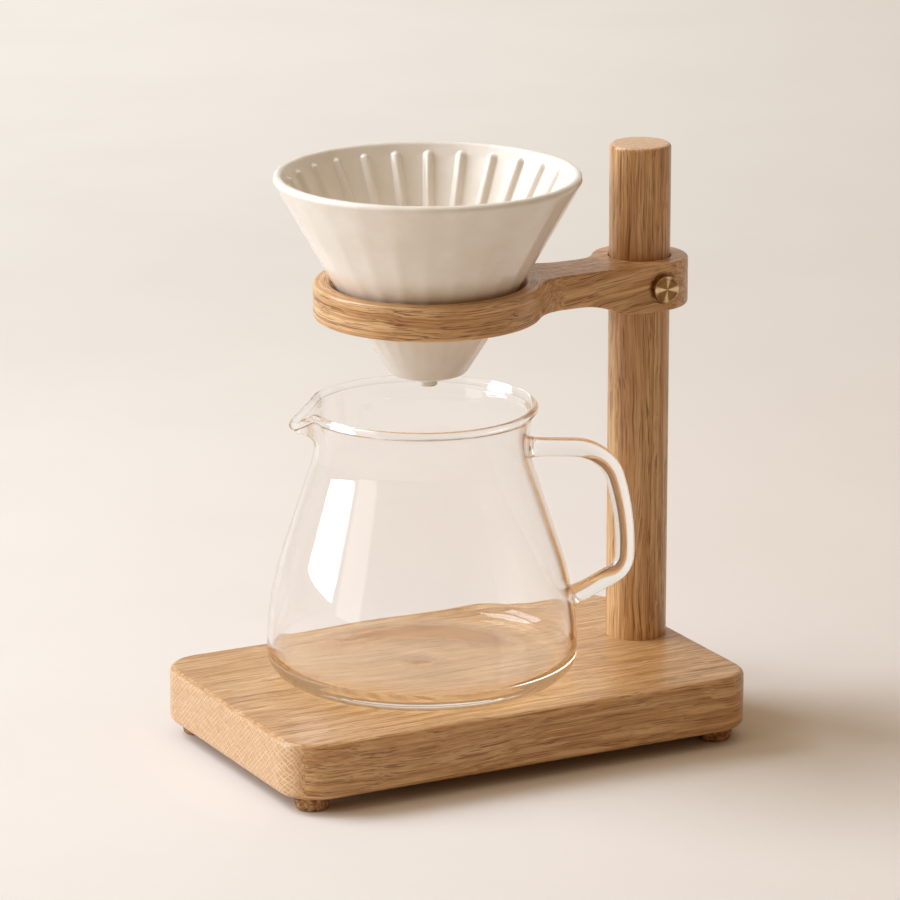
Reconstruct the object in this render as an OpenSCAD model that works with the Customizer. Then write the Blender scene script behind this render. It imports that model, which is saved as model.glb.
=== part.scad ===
// Pour-over dripper stand: an oak board on cork feet, an oak post, and an oak arm that slides
// and swings on the post and is clamped by a brass thumb screw. The arm's ring carries a
// ceramic cone dripper, and a glass carafe stands on the board below it.
// Millimetres, +Z up. The origin is the middle of the board's footprint, on the surface
// that the feet stand on.

/* [Base board] */
// Length of the board
base_l = 200; // [190:1:260]
// Width of the board
base_w = 125; // [118:1:160]
// Thickness of the board
base_t = 22; // [20:0.5:30]
// Radius of the board's upright corners
base_corner = 16; // [8:0.5:24]
// Radius that eases the board's top and bottom edges
base_edge = 2.5; // [1:0.1:4]

/* [Feet] */
// Height of a foot below the board
foot_h = 6; // [4:0.5:12]
// Diameter of a foot where it meets the board
foot_top_d = 15; // [13:0.5:20]
// Diameter of a foot at the floor
foot_floor_d = 12.6; // [9:0.1:13]
// Distance from the board's edges to a foot's axis
foot_inset = 12.5; // [11:0.5:22]
// Diameter of the peg that holds a foot in the board
foot_peg_d = 9; // [6:0.5:11]
// Length of the peg inside the board
foot_peg_h = 8; // [4:0.5:12]
// Radius at a foot's floor edge
foot_edge = 1; // [0.4:0.1:2]

/* [Post] */
// Diameter of the post
post_d = 24; // [22:0.5:28]
// Height of the post above the board
post_h = 199; // [190:1:260]
// Distance from the board's right end to the post's axis
post_inset = 16; // [14.5:0.5:22]
// Place of the post's axis across the board, from its middle
post_y = 6.5; // [0:0.5:12]
// Radius that eases the post's top edge
post_edge = 1.6; // [0.5:0.1:4]
// Diameter of the tenon below the post
tenon_d = 16; // [14:0.5:19]
// Length of the tenon
tenon_h = 9; // [6:0.5:12]
// Radial play between the tenon and its socket
tenon_play = 0.05; // [0.02:0.01:0.1]

/* [Post fixing] */
// Diameter of the bolt's thread
bolt_d = 6; // [5:0.5:8]
// Diameter of the bolt's domed head
bolt_head_d = 10.5; // [9:0.5:13]
// Height of the bolt's head
bolt_head_h = 3.3; // [2.5:0.1:4]
// Width across the flats of the bolt's socket
bolt_key = 4; // [3:0.5:5]
// Depth of the bolt's socket
bolt_key_h = 2; // [1.5:0.1:2.2]
// Length of the bolt inside the threaded sleeve
bolt_grip = 11; // [8:0.5:16]
// Outer diameter of the threaded sleeve in the post
sleeve_d = 9.5; // [9:0.5:12]
// Length of the threaded sleeve
sleeve_h = 14; // [12:0.5:20]
// Diameter of the washer
washer_d = 14; // [12:0.5:18]
// Thickness of the washer
washer_t = 1.6; // [1:0.1:2.5]
// Depth of the pocket for the head and the washer
pocket_depth = 6; // [5.5:0.1:8]

/* [Arm] */
// Distance from the post's axis to the middle of the ring
arm_reach = 93; // [88:0.5:104]
// Height of the hub's underside above the board
arm_lift = 135.5; // [132:0.5:150]
// Outer diameter of the ring
ring_d = 88; // [84:0.5:96]
// Thickness of the ring and the neck
ring_t = 13.5; // [10:0.5:16]
// Diameter of the hub round the post
hub_d = 38; // [36:0.5:40]
// Thickness of the hub
hub_t = 19; // [17:0.5:26]
// Width of the neck between the ring and the hub
neck_w = 23.5; // [20:0.5:28]
// Radius of the hollow blends between the ring and the neck
ring_blend = 20; // [12:0.5:26]
// Radius of the hollow blend between the neck and the hub
hub_blend = 12; // [8:0.5:16]
// Length of the underside's slope from the neck down to the hub
step_run = 26; // [20:1:30]
// Radius that eases the arm's outer edges
arm_edge = 1.2; // [0.5:0.1:2]
// Radial play between the post and the hub's bore
post_play = 0.3; // [0.2:0.05:0.5]
// Gap that shows round the dripper at the top of the ring
seat_gap_top = 1.3; // [0.8:0.1:2.5]
// Gap between the dripper and the foot of its conical seat
seat_gap = 0.3; // [0.2:0.05:0.6]
// Chamfer round the top of the seat
seat_chamfer = 0.8; // [0.4:0.1:1.2]

/* [Thumb screw] */
// Diameter of the knob
knob_d = 10.4; // [9:0.1:12]
// Length of the knob
knob_l = 4.2; // [3.5:0.1:8]
// Bevel on the knob's outer edge
knob_bevel = 0.7; // [0.3:0.1:1.2]
// Depth of the turned dish in the knob's face
knob_dish = 0.3; // [0.1:0.05:0.6]
// Diameter of the screw's thread
screw_d = 6; // [5:0.5:6]
// Outer diameter of the threaded bush in the hub
bush_d = 8.6; // [8:0.1:9]
// Diameter of the flat that is sunk in the hub round the knob
spot_d = 12.4; // [12.2:0.1:14]
// Depth of that flat below the hub's front
spot_depth = 1; // [0.6:0.1:1.6]
// Gap between the knob's back and the flat
knob_gap = 0.3; // [0.2:0.1:0.6]
// Thickness of the pressure pad at the screw's tip
pad_t = 2; // [1.5:0.1:2.5]
// Gap between the pad and the post
pad_gap = 0.2; // [0.15:0.05:0.4]
// Radial play between the screw and the thread round it
thread_play = 0.05; // [0.02:0.01:0.1]
// Radial play between the pad and the thread round it
pad_play = 0.15; // [0.1:0.05:0.3]

/* [Dripper] */
// Outer diameter of the dripper's rim
rim_d = 118; // [114:1:124]
// Height of the dripper
dripper_h = 84; // [80:1:90]
// Angle between the cone's side and its axis
cone_angle = 29.5; // [28:0.25:30.5]
// Thickness of the cone's wall
dripper_wall = 3.6; // [3:0.1:4.5]
// Height of the drip nozzle below the cone's foot
nozzle_h = 2; // [1:0.1:5]
// Diameter of the drip nozzle
nozzle_d = 8; // [7:0.5:12]
// Radius at the nozzle's tip
nozzle_edge = 1; // [0.5:0.1:1]
// Diameter of the drip hole
drip_hole_d = 4; // [3:0.5:5]
// Radius between the cone's foot and its side
cone_foot_r = 5; // [3:0.5:7]
// Thickness of the cone's floor
dripper_floor = 3.4; // [2.5:0.1:5]
// Height of the nozzle's tip above the carafe's rim
drip_gap = 5.5; // [4:0.5:12]
// Number of ribs inside the cone
rib_count = 26; // [20:1:28]
// Width of a rib
rib_w = 3.6; // [2.5:0.1:4]
// Height of a rib above the wall
rib_h = 1.5; // [0.8:0.1:2.2]
// Distance from the rim's top down to the ribs' upper ends
rib_top = 7; // [5:0.5:16]
// Length over which a rib rises out of the wall at its upper end
rib_runout = 4.5; // [2:0.5:8]
// Radius inside the cone where the ribs end below
rib_end_r = 17.5; // [16.5:0.5:24]

/* [Carafe] */
// Distance along the board from the dripper's axis to the carafe's axis
carafe_dx = -4; // [-10:0.5:1]
// Distance across the board from the dripper's axis to the carafe's axis
carafe_dy = -2.5; // [-6:0.5:2]
// Turn of the handle about the carafe's axis
carafe_turn = -27.5; // [-40:0.5:-20]
// Height of the carafe
carafe_h = 107; // [100:0.5:112]
// Diameter of the belly
belly_d = 120.6; // [112:0.2:124]
// Diameter of the neck
neck_d = 83.2; // [76:0.2:88]
// Height of the neck's narrowest place
neck_z = 91; // [86:0.5:94]
// Height over which the neck stays upright
neck_h = 1; // [0.5:0.5:2]
// Radius of the heel between the bottom and the belly
heel_r = 9; // [6:0.5:12]
// Radius of the belly's outward curve
belly_r = 130; // [110:1:160]
// Slope of the shoulder from the upright
shoulder_angle = 18.8; // [17:0.1:21]
// Radius of the hollow curve below the neck
shoulder_r = 25; // [15:1:40]
// Thickness of the glass
glass_t = 2; // [1.6:0.1:2.6]
// Thickness of the glass at the bottom
glass_floor = 4.6; // [3:0.1:6]
// Diameter of the hollow under the bottom
punt_d = 92; // [70:1:98]
// Height of the hollow under the bottom
punt_h = 1.2; // [0.5:0.1:1.6]
// Diameter of the bead round the rim
bead_d = 3.2; // [2.6:0.1:4]
// Outer diameter of the rim
mouth_d = 89.8; // [84:0.2:96]

/* [Carafe spout] */
// Reach of the spout's tip from the carafe's axis
spout_reach = 51; // [49:0.5:56]
// Drop of the spout's tip below the rim
spout_drop = 7; // [4:0.5:10]
// Half of the angle that the spout takes from the rim
spout_spread = 24; // [20:1:28]
// Radius of the spout's nose
spout_nose_r = 6; // [4:0.5:8]
// Height at which the spout leaves the neck, above its narrowest place
spout_rise = 1.5; // [0.5:0.5:3]
// Distance inside the rim at which the lip begins to fall
spout_root = 5; // [3:0.5:8]

/* [Carafe handle] */
// Diameter of the handle's rod
rod_d = 7.4; // [6:0.1:8.4]
// Height of the handle's upper run above the carafe's bottom
handle_top_z = 89.5; // [88:0.5:92]
// Length of the upper run from the carafe's axis
handle_run = 58.4; // [57:0.2:62]
// Radius of the upper bend
bend_top_r = 17; // [12:0.5:18]
// Angle that the upper bend turns
bend_top_a = 74; // [70:1:80]
// Radius of the grip's slight bow
grip_r = 100; // [80:5:140]
// Angle that the grip turns
grip_a = 18; // [14:1:20]
// Radius of the lower bend
bend_low_r = 9; // [7:0.5:12]
// Angle that the lower bend turns
bend_low_a = 57; // [50:1:64]

/* [Hidden] */

oak = "burlywood";
cork = "sienna";
steel = "silver";
brass = "darkgoldenrod";
glaze = "linen";
glass = "lightblue";

// Facets of a full circle, of the handle's rod and of a small eased edge
$fn = 96;
rod_facets = 32;
edge_facets = 20;
// Steps of a drawn arc, and of an edge that is eased in bevels
arc_steps = 10;
bevel_steps = 3;
// Overlap that joins two solids of one piece
bite = 1;
// Play between a glued peg and its hole
glue_play = 0.05;
// The rod is this much thicker in its two tight bends, and its runs reach this far into them
bend_swell = 0.06;
rod_lap = 0.4;
// Chamfer on the ends of pegs, tenon, screws and pad, and on the knob's back
end_chamfer = 0.6;
back_chamfer = 0.3;
// Clearance across the bolt in the holes that it passes, and across the washer in its pocket
bolt_play = 0.5;
pocket_play = 1;
// A blind hole is this much deeper than what sits in it
hole_spare = 0.3;
// The sleeve and the bush stop this far short of the faces that they lie below
set_in = 0.2;
// Radius of the bolt head's dome as a share of the head's diameter
dome_share = 0.62;
// Height and taper of the spout's nose at its foot
nose_h = 1.5;
nose_taper = 1;
// The lip's outside ends this far outside the bead's middle
lip_lap = 0.4;

base_top = foot_h + base_t;
ring_r = ring_d / 2;
hub_r = hub_d / 2;
post_r = post_d / 2;
post_x = base_l / 2 - post_inset;
dripper_x = post_x - arm_reach;
carafe_x = dripper_x + carafe_dx;
carafe_y = post_y + carafe_dy;
arm_top = base_top + arm_lift + hub_t;
neck_back = neck_w - hub_r;
spot_y = hub_r - spot_depth;
screw_z = -hub_t / 2;
rim_r = rim_d / 2;
wall_half = dripper_wall / 2;
belly_rad = belly_d / 2;
neck_rad = neck_d / 2;
bead_r = bead_d / 2;

// Height of the nozzle's tip above the board
tip_z = carafe_h + drip_gap;

// The cone's outer side passes through this point, measured from the nozzle's tip
cone_top_r = rim_r - wall_half + wall_half * cos(cone_angle);
cone_top_z = dripper_h - wall_half - wall_half * sin(cone_angle);
function cone_r(z) = cone_top_r - (cone_top_z - z) * tan(cone_angle);
// Radius of the cone's inner side
function cone_in_r(z) = cone_r(z) - dripper_wall / cos(cone_angle);
function cone_in_z(r) = cone_top_z - (cone_top_r - dripper_wall / cos(cone_angle) - r) / tan(cone_angle);
// Radius of the cone at a height below the arm's top
function seated_r(drop) = cone_r(arm_top - base_top - tip_z - drop);

function arc(x, y, r, from, to, steps = arc_steps) = [for (i = [0 : steps])
    [x + r * cos(from + (to - from) * i / steps), y + r * sin(from + (to - from) * i / steps)]];

// A rectangle with round corners
module eased_rect(w, h, e) {
    square([w - 2 * e, h], center = true);
    square([w, h - 2 * e], center = true);
    for (x = [-1, 1], y = [-1, 1])
        translate([x * (w / 2 - e), y * (h / 2 - e)])
            circle(e, $fn = edge_facets);
}

// The half of a disc's section that has its eased edge at the outside
module rim_section(inner, outer, h, e) {
    translate([inner, 0])
        square([outer - e - inner, h]);
    translate([inner, e])
        square([outer - inner, h - 2 * e]);
    for (y = [e, h - e])
        translate([outer - e, y])
            circle(e, $fn = edge_facets);
}

// Points of a section's edge that is eased in short bevels, round the quarter that begins at from
function bevel(x, y, e, from) = arc(x, y, e, from, from + 90, bevel_steps);

// A half section of the arm's thickness whose outer edges are eased in short bevels
module bevelled_half(outer, h, e) {
    polygon(concat(
        [[0, 0]],
        bevel(outer - e, e, e, -90),
        bevel(outer - e, h - e, e, 0),
        [[0, h]]));
}

// A whole section, from x0 to x1, eased in the same way on both sides
module bevelled_bar(x0, x1, h, e) {
    polygon(concat(
        bevel(x1 - e, e, e, -90),
        bevel(x1 - e, h - e, e, 0),
        bevel(x0 + e, h - e, e, 90),
        bevel(x0 + e, e, e, 180)));
}

module foot_place(x, y) {
    translate([x * (base_l / 2 - foot_inset), y * (base_w / 2 - foot_inset), 0])
        children();
}

module post_place(z) {
    translate([post_x, post_y, z])
        children();
}

module eased_board() {
    rotate([90, 0, 90])
        linear_extrude(base_l - 2 * base_corner, center = true)
            eased_rect(base_w, base_t, base_edge);
    for (side = [-1, 1])
        translate([side * (base_l / 2 - base_corner / 2), 0, 0])
            rotate([90, 0, 0])
                linear_extrude(base_w - 2 * base_corner, center = true)
                    intersection() {
                        translate([-side * base_corner / 2, 0])
                            eased_rect(2 * base_corner, base_t, base_edge);
                        square([base_corner, base_t], center = true);
                    }
    for (x = [-1, 1], y = [-1, 1])
        translate([x * (base_l / 2 - base_corner), y * (base_w / 2 - base_corner), -base_t / 2])
            rotate([0, 0, x > 0 ? (y > 0 ? 0 : -90) : (y > 0 ? 90 : 180)])
                rotate_extrude(angle = 90)
                    rim_section(0, base_corner, base_t, base_edge);
}

module base_board() {
    color(oak)
        difference() {
            translate([0, 0, foot_h + base_t / 2])
                eased_board();
            post_place(base_top - tenon_h - bite / 2)
                cylinder(d = tenon_d + 2 * tenon_play, h = tenon_h + bite);
            post_place(foot_h - bite)
                cylinder(d = bolt_d + bolt_play, h = base_t);
            post_place(foot_h - bite)
                cylinder(d = washer_d + pocket_play, h = pocket_depth + bite);
            for (x = [-1, 1], y = [-1, 1])
                foot_place(x, y)
                    translate([0, 0, foot_h - bite])
                        cylinder(d = foot_peg_d + 2 * glue_play, h = foot_peg_h + bite + hole_spare);
        }
}

module foot() {
    floor_r = foot_floor_d / 2;
    peg_r = foot_peg_d / 2;
    peg_top = foot_h + foot_peg_h;
    side_tilt = atan((foot_top_d - foot_floor_d) / 2 / foot_h);
    color(cork)
        rotate_extrude()
            polygon(concat(
                [[0, 0]],
                arc(floor_r - foot_edge, foot_edge, foot_edge, -90, -side_tilt),
                [[foot_top_d / 2, foot_h], [peg_r, foot_h], [peg_r, peg_top - end_chamfer],
                 [peg_r - end_chamfer, peg_top], [0, peg_top]]));
}

module post() {
    tenon_r = tenon_d / 2;
    color(oak)
        difference() {
            post_place(base_top)
                rotate_extrude()
                    polygon(concat(
                        [[0, -tenon_h], [tenon_r - end_chamfer, -tenon_h],
                         [tenon_r, end_chamfer - tenon_h], [tenon_r, 0], [post_r, 0]],
                        arc(post_r - post_edge, post_h - post_edge, post_edge, 0, 90),
                        [[0, post_h]]));
            post_place(base_top - tenon_h - bite)
                cylinder(d = sleeve_d, h = bite + set_in + sleeve_h + hole_spare);
        }
}

module post_sleeve() {
    bore_r = bolt_d / 2 + thread_play;
    color(brass)
        post_place(base_top - tenon_h + set_in)
            rotate_extrude()
                polygon([[bore_r + end_chamfer, 0], [sleeve_d / 2, 0], [sleeve_d / 2, sleeve_h],
                         [bore_r, sleeve_h], [bore_r, end_chamfer]]);
}

module post_washer() {
    color(steel)
        post_place(foot_h + pocket_depth - washer_t)
            difference() {
                cylinder(d = washer_d, h = washer_t);
                translate([0, 0, -bite])
                    cylinder(d = bolt_d + bolt_play, h = washer_t + 2 * bite);
            }
}

module post_bolt() {
    seat_z = foot_h + pocket_depth - washer_t;
    dome_r = bolt_head_d * dome_share;
    color(steel)
        post_place(seat_z)
            difference() {
                union() {
                    cylinder(d = bolt_d, h = base_top - tenon_h + bolt_grip - seat_z);
                    intersection() {
                        translate([0, 0, -bolt_head_h])
                            cylinder(d = bolt_head_d, h = bolt_head_h);
                        translate([0, 0, dome_r - bolt_head_h])
                            sphere(dome_r);
                    }
                }
                translate([0, 0, -bolt_head_h - bite])
                    cylinder(d = bolt_key / cos(30), h = bite + bolt_key_h, $fn = 6);
            }
}

// The hollow blends cut this far into what they join, so that the surfaces cross cleanly
blend_lap = 0.05;

// Distance along X from a round's middle to the middle of a blend that meets it and the neck's edge
function blend_x(r, blend, y) = sqrt(pow(r + blend - blend_lap, 2) - pow(y + blend - blend_lap, 2));

// A filled corner with a hollow face between a round at x0 and the neck's edge at y; toward is
// the side of the round on which the neck lies, and side the edge of the neck that it is on.
// It stops short of the arm's faces, within the bevels of what it joins
module hollow_blend(x0, toward, r, side, y, blend, h) {
    mid_x = blend_x(r, blend, y);
    mid_y = y + blend - blend_lap;
    // From the blend's middle to the corner that the round and the edge make
    corner = norm([mid_x - sqrt(pow(r, 2) - pow(y, 2)), blend]);
    turn = atan(mid_x / mid_y);
    from = (side > 0 ? 270 : 90) - (side * toward > 0 ? turn : 0);
    short = arm_edge / 3;
    translate([x0 + toward * mid_x, side * mid_y, short])
        rotate([0, 0, from])
            rotate_extrude(angle = turn)
                translate([blend, 0])
                    square([corner + bite - blend, h - 2 * short]);
}

// What is cut away under the neck: it ends in a slope of two arcs that meet halfway
module underside() {
    drop = hub_t - ring_t;
    r = (pow(step_run, 2) + pow(drop, 2)) / (4 * drop);
    sweep = 2 * atan(drop / step_run);
    low_x = -hub_r / 2;
    polygon(concat(
        [[-2 * arm_reach, -bite], [-2 * arm_reach, drop]],
        arc(low_x - step_run, drop - r, r, 90, 90 - sweep),
        arc(low_x, r, r, 270 - sweep, 270),
        [[low_x, -bite]]));
}

// The arm before its seat and bores are cut, with its top at z = 0
module arm_blank() {
    translate([0, 0, -ring_t]) {
        translate([-arm_reach, 0, 0])
            rotate([0, 0, 180])
                rotate_extrude()
                    bevelled_half(ring_r, ring_t, arm_edge);
        hollow_blend(-arm_reach, 1, ring_r, -1, hub_r, ring_blend, ring_t);
        hollow_blend(-arm_reach, 1, ring_r, 1, neck_back, ring_blend, ring_t);
    }
    // Hub and neck, cut away below the neck
    translate([0, 0, -hub_t])
        difference() {
            union() {
                rotate_extrude()
                    bevelled_half(hub_r, hub_t, arm_edge);
                hollow_blend(0, -1, hub_r, 1, neck_back, hub_blend, hub_t);
                translate([ring_r / 2 - arm_reach, 0, 0])
                    rotate([90, 0, 90])
                        linear_extrude(arm_reach - ring_r / 2)
                            bevelled_bar(blend_lap - hub_r, neck_back, hub_t, arm_edge);
            }
            rotate([90, 0, 0])
                linear_extrude(3 * hub_r, center = true)
                    underside();
        }
}

module arm() {
    seat_r = seated_r(ring_t) + seat_gap / cos(cone_angle);
    seat_top_r = seated_r(0) + seat_gap_top;
    seat_slope = (seat_top_r - seat_r) / ring_t;
    color(oak)
        post_place(arm_top)
            difference() {
                arm_blank();
                translate([-arm_reach, 0, -ring_t - bite])
                    cylinder(r1 = seat_r - seat_slope * bite, r2 = seat_top_r + seat_slope * bite,
                             h = ring_t + 2 * bite);
                translate([-arm_reach, 0, -seat_chamfer])
                    cylinder(r1 = seat_top_r - seat_slope * seat_chamfer,
                             r2 = seat_top_r + seat_chamfer + (1 + seat_slope) * bite,
                             h = seat_chamfer + bite);
                translate([0, 0, -hub_t - bite])
                    cylinder(r = post_r + post_play, h = hub_t + 2 * bite);
                translate([0, 0, screw_z])
                    rotate([90, 0, 0]) {
                        cylinder(d = bush_d, h = hub_r);
                        translate([0, 0, spot_y])
                            cylinder(d = spot_d, h = spot_depth + bite);
                    }
            }
}

module arm_bush() {
    color(brass)
        post_place(arm_top + screw_z)
            rotate([90, 0, 0])
                difference() {
                    cylinder(d = bush_d, h = spot_y - set_in);
                    cylinder(d = screw_d + 2 * thread_play, h = hub_r);
                    rotate([90, 0, 0])
                        cylinder(r = post_r + post_play + set_in, h = hub_t, center = true);
                }
}

module thumb_screw() {
    tip_y = post_r + pad_gap + pad_t + thread_play;
    back_y = spot_y + knob_gap;
    face_y = back_y + knob_l;
    screw_r = screw_d / 2;
    knob_r = knob_d / 2;
    dish_r = knob_r - 2 * knob_bevel;
    color(brass)
        post_place(arm_top + screw_z)
            rotate([90, 0, 0])
                rotate_extrude()
                    polygon([[0, tip_y], [screw_r - end_chamfer, tip_y], [screw_r, tip_y + end_chamfer],
                             [screw_r, back_y], [knob_r - back_chamfer, back_y],
                             [knob_r, back_y + back_chamfer], [knob_r, face_y - knob_bevel],
                             [knob_r - knob_bevel, face_y], [dish_r + knob_dish, face_y],
                             [dish_r, face_y - knob_dish], [0, face_y - knob_dish]]);
}

module clamp_pad() {
    pad_r = screw_d / 2 + thread_play - pad_play;
    color(brass)
        post_place(arm_top + screw_z)
            rotate([90, 0, 0])
                translate([0, 0, post_r + pad_gap])
                    rotate_extrude()
                        polygon([[0, 0], [pad_r - end_chamfer, 0], [pad_r, end_chamfer],
                                 [pad_r, pad_t - end_chamfer], [pad_r - end_chamfer, pad_t], [0, pad_t]]);
}

// Half of the dripper's section, measured from the nozzle's tip
module dripper_section() {
    hole_r = drip_hole_d / 2;
    floor_z = nozzle_h + dripper_floor;
    // Heights at which the rounded foot and the rounded floor meet the cone's sides
    foot_mid_z = nozzle_h + cone_foot_r;
    floor_mid_z = floor_z + cone_foot_r - wall_half;
    polygon(concat(
        [[hole_r, 0]],
        arc(nozzle_d / 2 - nozzle_edge, nozzle_edge, nozzle_edge, -90, 0),
        [[nozzle_d / 2, nozzle_h]],
        arc(cone_r(foot_mid_z) - cone_foot_r / cos(cone_angle), foot_mid_z, cone_foot_r, -90, -cone_angle),
        arc(rim_r - wall_half, dripper_h - wall_half, wall_half, -cone_angle, 180 - cone_angle),
        arc(cone_in_r(floor_mid_z) - (cone_foot_r - wall_half) / cos(cone_angle), floor_mid_z,
            cone_foot_r - wall_half, -cone_angle, -90),
        [[hole_r, floor_z]]));
}

// One rib, standing on the cone's inner side
module rib() {
    z0 = cone_in_z(rib_end_r);
    z1 = dripper_h - rib_top;
    in = [-cos(cone_angle), sin(cone_angle)];
    low = [cone_in_r(z0), z0];
    high = [cone_in_r(z1), z1];
    up = (high - low) / norm(high - low);
    rotate([90, 0, 0])
        linear_extrude(rib_w, center = true)
            polygon([low - in, low, low + up * rib_h + in * rib_h,
                     high - up * rib_runout + in * rib_h, high, high - in]);
}

module dripper() {
    color(glaze)
        translate([dripper_x, post_y, base_top + tip_z]) {
            rotate_extrude()
                dripper_section();
            for (i = [0 : rib_count - 1])
                rotate([0, 0, (i + 0.5) * 360 / rib_count])
                    rib();
        }
}

// Heights and radii where the carafe's outline changes from one curve to the next
belly_sweep = shoulder_angle;
belly_mid = [belly_rad - belly_r, heel_r];
belly_end = belly_mid + belly_r * [cos(belly_sweep), sin(belly_sweep)];
shoulder_mid = [neck_rad + shoulder_r, neck_z];
shoulder_end = shoulder_mid - shoulder_r * [cos(belly_sweep), sin(belly_sweep)];
bead_mid = [mouth_d / 2 - bead_r, carafe_h - bead_r];
// The lip curves out from the neck until it meets the bead
neck_top = neck_z + neck_h;
lip_rise = bead_mid[1] - neck_top;
lip_out = bead_mid[0] - neck_rad + lip_lap;
lip_r = (pow(lip_rise, 2) + pow(lip_out, 2)) / (2 * lip_out);
lip_sweep = asin(lip_rise / lip_r);

// The carafe's outside, or its inside when it is drawn in by the glass
module carafe_outline(inset, floor_z, hollow) {
    heel = heel_r - inset;
    heel_x = belly_rad - heel_r;
    heel_z = floor_z + heel;
    polygon(concat(
        hollow > 0 ? [[0, hollow], [punt_d / 2 - 2 * hollow, hollow], [punt_d / 2, 0]] : [[0, floor_z]],
        arc(heel_x, heel_z, heel, -90, 0),
        arc(belly_mid[0], belly_mid[1], belly_r - inset, asin((heel_z - heel_r) / belly_r), belly_sweep),
        arc(shoulder_mid[0], shoulder_mid[1], shoulder_r + inset, 180 + belly_sweep, 180),
        arc(neck_rad + lip_r, neck_top, lip_r + inset, 180, 180 - lip_sweep),
        [[0, neck_top + (lip_r + inset) * sin(lip_sweep)]]));
}

module carafe_shell() {
    rotate_extrude()
        difference() {
            union() {
                carafe_outline(0, 0, punt_h);
                translate(bead_mid)
                    circle(bead_r, $fn = rod_facets);
            }
            carafe_outline(glass_t, glass_floor, 0);
        }
}

// The spout: a beak drawn out of the lip towards -X, solid, and drawn in all round by the inset
module spout_form(inset) {
    nose = spout_nose_r - inset;
    nose_z = carafe_h - spout_drop - glass_t + inset;
    foot_z = neck_z + spout_rise + inset;
    hull() {
        rotate([0, 0, 180 - spout_spread])
            rotate_extrude(angle = 2 * spout_spread, $fn = $fn / 2)
                polygon([[neck_rad / 2, foot_z], [neck_rad - inset, foot_z],
                         [bead_mid[0] - inset, bead_mid[1]], [bead_mid[0] - inset, carafe_h + inset],
                         [neck_rad / 2, carafe_h + inset]]);
        translate([spout_nose_r - spout_reach, 0, nose_z])
            cylinder(r1 = nose - nose_taper, r2 = nose, h = nose_h, $fn = rod_facets);
        translate([spout_nose_r - spout_reach, 0, carafe_h - bite])
            cylinder(r = nose, h = bite + inset, $fn = rod_facets);
    }
}

// What is above the slanting plane of the spout's lip
module spout_cut() {
    root_x = mouth_d / 2 - spout_root;
    slope = atan(spout_drop / (spout_reach - root_x));
    translate([-root_x, 0, carafe_h])
        rotate([0, -slope, 0])
            translate([-spout_reach, -spout_reach, 0])
                cube([spout_reach, 2 * spout_reach, spout_reach]);
}

module carafe_place() {
    translate([carafe_x, carafe_y, base_top])
        rotate([0, 0, carafe_turn])
            children();
}

module carafe_body() {
    color(glass)
        carafe_place()
            difference() {
                union() {
                    carafe_shell();
                    difference() {
                        spout_form(0);
                        cylinder(r = neck_rad - glass_t / 2, h = carafe_h + bite);
                    }
                }
                spout_form(glass_t);
                spout_cut();
            }
}

// A bend of the handle's rod that turns down by an angle; what follows rides on its end
module rod_bend(r, angle, d, lap) {
    lap_turn = lap / r * 180 / PI;
    translate([0, 0, -r]) {
        rotate([90, 0, 0])
            rotate([0, 0, 90 - angle - lap_turn])
                rotate_extrude(angle = angle + 2 * lap_turn)
                    translate([r, 0])
                        circle(d / 2, $fn = rod_facets);
        rotate([0, angle, 0])
            translate([0, 0, r])
                children();
    }
}

module carafe_handle() {
    start = neck_rad - glass_t;
    bend_d = rod_d + 2 * bend_swell;
    // Long enough to reach the glass, which trims it
    low_run = handle_run / 3;
    color(glass)
        carafe_place()
            difference() {
                translate([start, 0, handle_top_z]) {
                    rotate([0, 90, 0])
                        cylinder(d = rod_d, h = handle_run - start + rod_lap, $fn = rod_facets);
                    translate([handle_run - start, 0, 0])
                        rod_bend(bend_top_r, bend_top_a, bend_d, 0)
                            rod_bend(grip_r, grip_a, rod_d, rod_lap)
                                rod_bend(bend_low_r, bend_low_a, bend_d, 0)
                                    rotate([0, 90, 0])
                                        translate([0, 0, -rod_lap])
                                            cylinder(d = rod_d, h = low_run, $fn = rod_facets);
                }
                rotate_extrude()
                    carafe_outline(0, 0, 0);
            }
}

base_board();
foot_place(-1, -1) foot();  // foot_front_left
foot_place(1, -1) foot();  // foot_front_right
foot_place(-1, 1) foot();  // foot_rear_left
foot_place(1, 1) foot();  // foot_rear_right
post();
post_sleeve();
post_washer();
post_bolt();
arm();
arm_bush();
thumb_screw();
clamp_pad();
dripper();
carafe_body();
carafe_handle();
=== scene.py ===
"""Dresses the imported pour-over dripper stand: materials, detailed meshes, light and camera.

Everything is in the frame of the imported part. The camera, the lamps and the floor are in metres.
The profiles of the pieces, and whatever ends in _mm, are in millimetres.
"""

import math

import bmesh
import bpy
from mathutils import Matrix, Vector, noise
from mathutils.geometry import delaunay_2d_cdt


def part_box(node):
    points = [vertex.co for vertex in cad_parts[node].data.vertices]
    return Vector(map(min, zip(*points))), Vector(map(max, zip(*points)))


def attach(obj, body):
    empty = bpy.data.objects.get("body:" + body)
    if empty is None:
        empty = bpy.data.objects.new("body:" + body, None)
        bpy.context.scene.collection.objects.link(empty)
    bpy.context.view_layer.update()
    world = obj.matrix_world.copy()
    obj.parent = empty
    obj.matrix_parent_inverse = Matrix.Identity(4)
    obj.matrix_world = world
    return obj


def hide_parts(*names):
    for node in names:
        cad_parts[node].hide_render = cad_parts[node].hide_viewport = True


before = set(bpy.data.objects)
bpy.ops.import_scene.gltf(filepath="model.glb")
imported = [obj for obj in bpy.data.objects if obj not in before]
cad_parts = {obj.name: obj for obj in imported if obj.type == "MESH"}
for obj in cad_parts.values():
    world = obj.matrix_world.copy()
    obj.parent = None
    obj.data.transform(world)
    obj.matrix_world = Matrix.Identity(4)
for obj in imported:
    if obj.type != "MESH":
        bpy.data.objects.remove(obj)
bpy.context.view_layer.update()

MM = 0.001


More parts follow.
